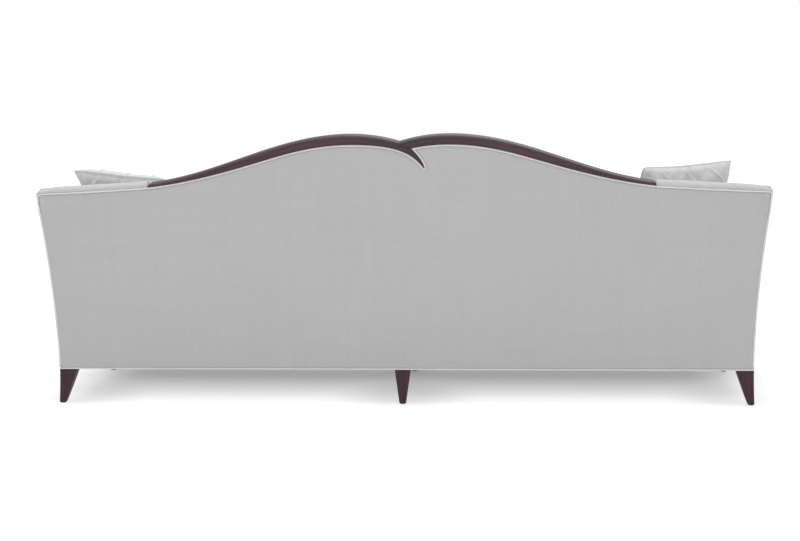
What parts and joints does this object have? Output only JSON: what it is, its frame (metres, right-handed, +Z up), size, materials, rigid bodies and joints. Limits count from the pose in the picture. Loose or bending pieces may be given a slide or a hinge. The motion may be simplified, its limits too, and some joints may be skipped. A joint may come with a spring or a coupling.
{
  "type": "camelback sofa",
  "caption": "Fixed camelback sofa with a double-hump carved wood top rail, flared padded arms, loose seat cushions, throw pillows and tapered legs.",
  "frame": {"origin": "on the floor under the middle of the sofa's bounding box", "axes": "+X to the sitter's left along the sofa's length, +Y towards the back of the sofa, +Z up"},
  "size_m": [2.5394, 0.93, 0.9546],
  "materials": {
    "linen": "pale grey linen weave",
    "piping": "self-covered piping cord",
    "pillow_cover": "pale grey pintucked satin",
    "show_wood": "dark espresso, satin lacquer",
    "frame_wood": "raw kiln-dried hardwood",
    "spring_steel": "oiled spring wire",
    "webbing": "jute webbing",
    "dust_cloth": "black non-woven cambric"
  },
  "bodies": {
    "root": {"back_crest_board": "frame_wood", "back_lower_rail": "frame_wood", "back_middle_upright": "frame_wood", "back_webbing": "webbing", "bottom_welt": "piping", "dust_cover": "dust_cloth", "front_border": "linen", "front_seat_rail": "frame_wood", "inside_back_pad": "linen", "left_arm_facing": "linen", "left_arm_facing_welt": "piping", "left_arm_front_post": "frame_wood", "left_arm_lower_rail": "frame_wood", "left_arm_roll": "linen", "left_arm_top_board": "frame_wood", "left_back_post": "frame_wood", "left_back_roll": "linen", "left_back_upright": "frame_wood", "left_front_corner_block": "frame_wood", "left_front_leg": "show_wood", "left_inside_arm_pad": "linen", "left_outside_arm_panel": "linen", "left_rear_corner_block": "frame_wood", "left_rear_leg": "show_wood", "left_seat_cushion": "linen", "left_seat_side_rail": "frame_wood", "left_seat_stretcher": "frame_wood", "left_throw_pillow": "pillow_cover", "left_top_rail": "show_wood", "middle_front_leg": "show_wood", "middle_rear_leg": "show_wood", "outside_back_panel": "linen", "outside_back_welt": "piping", "rear_seat_rail": "frame_wood", "right_arm_facing": "linen", "right_arm_facing_welt": "piping", "right_arm_front_post": "frame_wood", "right_arm_lower_rail": "frame_wood", "right_arm_roll": "linen", "right_arm_top_board": "frame_wood", "right_back_post": "frame_wood", "right_back_roll": "linen", "right_back_upright": "frame_wood", "right_front_corner_block": "frame_wood", "right_front_leg": "show_wood", "right_inside_arm_pad": "linen", "right_outside_arm_panel": "linen", "right_rear_corner_block": "frame_wood", "right_rear_leg": "show_wood", "right_seat_cushion": "linen", "right_seat_side_rail": "frame_wood", "right_seat_stretcher": "frame_wood", "right_throw_pillow": "pillow_cover", "right_top_rail": "show_wood", "seat_deck": "linen", "seat_middle_stretcher": "frame_wood", "seat_springs": "spring_steel"}
  },
  "joints": []
}
